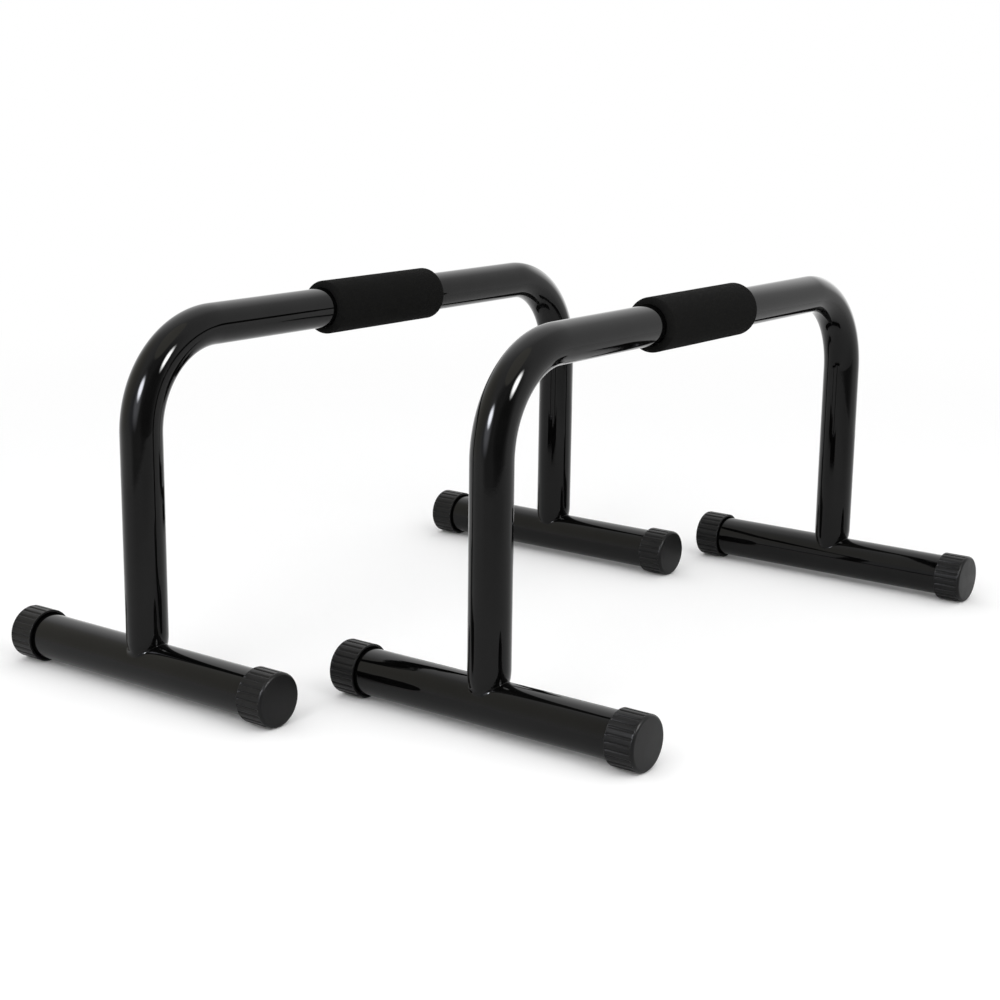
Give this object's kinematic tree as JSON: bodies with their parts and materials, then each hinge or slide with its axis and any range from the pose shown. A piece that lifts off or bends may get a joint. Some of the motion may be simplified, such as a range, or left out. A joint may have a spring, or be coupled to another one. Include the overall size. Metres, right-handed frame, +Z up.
{
  "type": "dip station",
  "caption": "Low free-standing dip bars: bent steel tube hoops with foam grips, welded to foot tubes with ribbed rubber end caps.",
  "frame": {"origin": "on the floor, under the middle of the pair of bars", "axes": "+Y along the handles towards the rear feet, +X along the foot tubes from the left bar to the right bar, +Z up"},
  "size_m": [0.6266, 0.7942, 0.3501],
  "materials": {
    "gloss_paint": "gloss black powder coat",
    "cap_rubber": "satin moulded rubber",
    "grip_foam": "matt closed-cell foam"
  },
  "bodies": {
    "left_bar": {"left_handle_tube": "gloss_paint", "left_front_foot_tube": "gloss_paint", "left_front_weld": "gloss_paint", "left_front_outer_cap": "cap_rubber", "left_front_inner_cap": "cap_rubber", "left_rear_foot_tube": "gloss_paint", "left_rear_weld": "gloss_paint", "left_rear_outer_cap": "cap_rubber", "left_rear_inner_cap": "cap_rubber", "left_grip": "grip_foam"},
    "right_bar": {"right_handle_tube": "gloss_paint", "right_front_foot_tube": "gloss_paint", "right_front_weld": "gloss_paint", "right_front_outer_cap": "cap_rubber", "right_front_inner_cap": "cap_rubber", "right_rear_foot_tube": "gloss_paint", "right_rear_weld": "gloss_paint", "right_rear_outer_cap": "cap_rubber", "right_rear_inner_cap": "cap_rubber", "right_grip": "grip_foam"}
  },
  "joints": [
    {"name": "bar_spacing", "type": "slide", "parent": "left_bar", "child": "right_bar", "axis": [1, 0, 0], "range_m": [-0.2, 0.3]}
  ]
}
